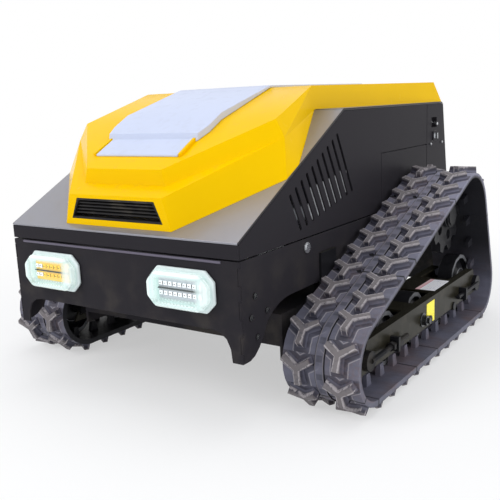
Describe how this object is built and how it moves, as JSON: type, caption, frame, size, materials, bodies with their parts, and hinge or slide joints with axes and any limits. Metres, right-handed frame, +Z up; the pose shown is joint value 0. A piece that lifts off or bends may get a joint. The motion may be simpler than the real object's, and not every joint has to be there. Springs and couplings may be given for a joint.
{
  "type": "remote control slope mower",
  "caption": "Low tracked slope mower with a faceted yellow hood over a black steel hull, louvred sides, wide front lamps, a lifting cutter deck and rubber crawler tracks.",
  "frame": {"origin": "on the ground, at the middle of the overall width and length", "axes": "+Z up, the front with the lamps faces -Y, the +X side is called right, as seen from the front"},
  "size_m": [1.056, 1.216, 0.7067],
  "materials": {
    "hull_steel": "satin black powder coat",
    "slope_steel": "satin grey paint",
    "frame_steel": "satin olive black paint",
    "wheel_steel": "satin black paint on castings",
    "hood_plastic": "gloss yellow moulding",
    "panel_plastic": "gloss pale moulding",
    "black_plastic": "matt black moulding",
    "track_rubber": "matt worn rubber",
    "lamp_plastic": "gloss clear moulding",
    "cast_alloy": "raw casting",
    "bright_steel": "machined and zinc plated",
    "battery_case": "matt dark blue moulding"
  },
  "bodies": {
    "chassis": {"front_plate": "hull_steel", "side_plate_right": "hull_steel", "side_plate_left": "hull_steel", "floor_plate": "hull_steel", "rear_plate": "hull_steel", "pillar_right": "hull_steel", "pillar_left": "hull_steel", "battery": "battery_case", "control_box": "cast_alloy", "lift_actuator": "hull_steel", "lamp_base_right": "lamp_plastic", "lamp_base_left": "lamp_plastic", "lamp_lens_right": "lamp_plastic", "lamp_lens_left": "lamp_plastic", "hinge_bracket_right": "hull_steel", "hinge_bracket_left": "hull_steel", "track_belt_right": "track_rubber", "track_belt_left": "track_rubber", "track_frame_right": "frame_steel", "track_frame_left": "frame_steel", "gear_motor_right": "cast_alloy", "gear_motor_left": "cast_alloy", "motor_cable_right": "black_plastic", "motor_cable_left": "black_plastic"},
    "cover": {"cover_side_right": "hull_steel", "cover_side_left": "hull_steel", "cover_lip": "hull_steel", "slope_panel": "slope_steel", "hood": "hood_plastic", "hood_grille": "black_plastic", "centre_panel": "panel_plastic", "access_cover_right": "hull_steel", "access_cover_left": "hull_steel", "hinge_leaf_right": "hull_steel", "hinge_leaf_left": "hull_steel"},
    "deck": {"deck_shell": "hull_steel", "engine_block": "cast_alloy", "engine_shroud": "black_plastic", "muffler": "bright_steel", "air_filter": "black_plastic", "fuel_tank": "black_plastic", "actuator_rod": "bright_steel"},
    "cutter": {"spindle": "cast_alloy", "cutter_bar": "bright_steel"},
    "key": {"key_barrel": "bright_steel"},
    "toggle": {"toggle_lever": "bright_steel"},
    "yoke_right": {"front_yoke_right": "bright_steel"},
    "sprocket_right": {"sprocket_right": "wheel_steel"},
    "front_idler_right": {"front_idler_right": "wheel_steel"},
    "rear_idler_right": {"rear_idler_right": "wheel_steel"},
    "road_wheel_front_right": {"road_wheel_front_right": "wheel_steel"},
    "road_wheel_middle_right": {"road_wheel_middle_right": "wheel_steel"},
    "road_wheel_rear_right": {"road_wheel_rear_right": "wheel_steel"},
    "yoke_left": {"front_yoke_left": "bright_steel"},
    "sprocket_left": {"sprocket_left": "wheel_steel"},
    "front_idler_left": {"front_idler_left": "wheel_steel"},
    "rear_idler_left": {"rear_idler_left": "wheel_steel"},
    "road_wheel_front_left": {"road_wheel_front_left": "wheel_steel"},
    "road_wheel_middle_left": {"road_wheel_middle_left": "wheel_steel"},
    "road_wheel_rear_left": {"road_wheel_rear_left": "wheel_steel"}
  },
  "joints": [
    {"name": "cover_hinge", "type": "hinge", "parent": "chassis", "child": "cover", "pos_m": [0, 0.574, 0.64], "axis": [-1, 0, 0], "range_deg": [0, 60]},
    {"name": "deck_lift", "type": "slide", "parent": "chassis", "child": "deck", "axis": [0, 0, 1], "range_m": [0, 0.045]},
    {"name": "cutter_spin", "type": "hinge", "parent": "deck", "child": "cutter", "pos_m": [0, -0.112, 0.15], "axis": [0, 0, 1], "continuous": true},
    {"name": "key_turn", "type": "hinge", "parent": "chassis", "child": "key", "pos_m": [0.34, 0.482, 0.54], "axis": [1, 0, 0], "range_deg": [0, 60]},
    {"name": "toggle_flip", "type": "hinge", "parent": "chassis", "child": "toggle", "pos_m": [0.331, 0.482, 0.581], "axis": [0, -1, 0], "range_deg": [0, 28]},
    {"name": "belt_tension_right", "type": "slide", "parent": "chassis", "child": "yoke_right", "axis": [0, 1, 0], "range_m": [0, 0.012]},
    {"name": "sprocket_turn_right", "type": "hinge", "parent": "chassis", "child": "sprocket_right", "pos_m": [0.438, 0.285, 0.328], "axis": [1, 0, 0], "continuous": true},
    {"name": "front_idler_turn_right", "type": "hinge", "parent": "yoke_right", "child": "front_idler_right", "pos_m": [0.438, -0.348, 0.113], "axis": [1, 0, 0], "continuous": true},
    {"name": "rear_idler_turn_right", "type": "hinge", "parent": "chassis", "child": "rear_idler_right", "pos_m": [0.438, 0.385, 0.113], "axis": [1, 0, 0], "continuous": true},
    {"name": "road_wheel_front_turn_right", "type": "hinge", "parent": "chassis", "child": "road_wheel_front_right", "pos_m": [0.438, -0.161, 0.099], "axis": [1, 0, 0], "continuous": true},
    {"name": "road_wheel_middle_turn_right", "type": "hinge", "parent": "chassis", "child": "road_wheel_middle_right", "pos_m": [0.438, 0.026, 0.099], "axis": [1, 0, 0], "continuous": true},
    {"name": "road_wheel_rear_turn_right", "type": "hinge", "parent": "chassis", "child": "road_wheel_rear_right", "pos_m": [0.438, 0.21, 0.087], "axis": [1, 0, 0], "continuous": true},
    {"name": "belt_tension_left", "type": "slide", "parent": "chassis", "child": "yoke_left", "axis": [0, 1, 0], "range_m": [0, 0.012]},
    {"name": "sprocket_turn_left", "type": "hinge", "parent": "chassis", "child": "sprocket_left", "pos_m": [-0.438, 0.285, 0.328], "axis": [1, 0, 0], "continuous": true},
    {"name": "front_idler_turn_left", "type": "hinge", "parent": "yoke_left", "child": "front_idler_left", "pos_m": [-0.438, -0.348, 0.113], "axis": [1, 0, 0], "continuous": true},
    {"name": "rear_idler_turn_left", "type": "hinge", "parent": "chassis", "child": "rear_idler_left", "pos_m": [-0.438, 0.385, 0.113], "axis": [1, 0, 0], "continuous": true},
    {"name": "road_wheel_front_turn_left", "type": "hinge", "parent": "chassis", "child": "road_wheel_front_left", "pos_m": [-0.438, -0.161, 0.099], "axis": [1, 0, 0], "continuous": true},
    {"name": "road_wheel_middle_turn_left", "type": "hinge", "parent": "chassis", "child": "road_wheel_middle_left", "pos_m": [-0.438, 0.026, 0.099], "axis": [1, 0, 0], "continuous": true},
    {"name": "road_wheel_rear_turn_left", "type": "hinge", "parent": "chassis", "child": "road_wheel_rear_left", "pos_m": [-0.438, 0.21, 0.087], "axis": [1, 0, 0], "continuous": true}
  ],
  "couplings": [
    {"joint": "front_idler_turn_right", "follows": "sprocket_turn_right", "ratio": 1.2804},
    {"joint": "rear_idler_turn_right", "follows": "sprocket_turn_right", "ratio": 1.2804},
    {"joint": "road_wheel_front_turn_right", "follows": "sprocket_turn_right", "ratio": 1.5179},
    {"joint": "road_wheel_middle_turn_right", "follows": "sprocket_turn_right", "ratio": 1.5179},
    {"joint": "road_wheel_rear_turn_right", "follows": "sprocket_turn_right", "ratio": 1.8047},
    {"joint": "front_idler_turn_left", "follows": "sprocket_turn_left", "ratio": 1.2804},
    {"joint": "rear_idler_turn_left", "follows": "sprocket_turn_left", "ratio": 1.2804},
    {"joint": "road_wheel_front_turn_left", "follows": "sprocket_turn_left", "ratio": 1.5179},
    {"joint": "road_wheel_middle_turn_left", "follows": "sprocket_turn_left", "ratio": 1.5179},
    {"joint": "road_wheel_rear_turn_left", "follows": "sprocket_turn_left", "ratio": 1.8047}
  ]
}
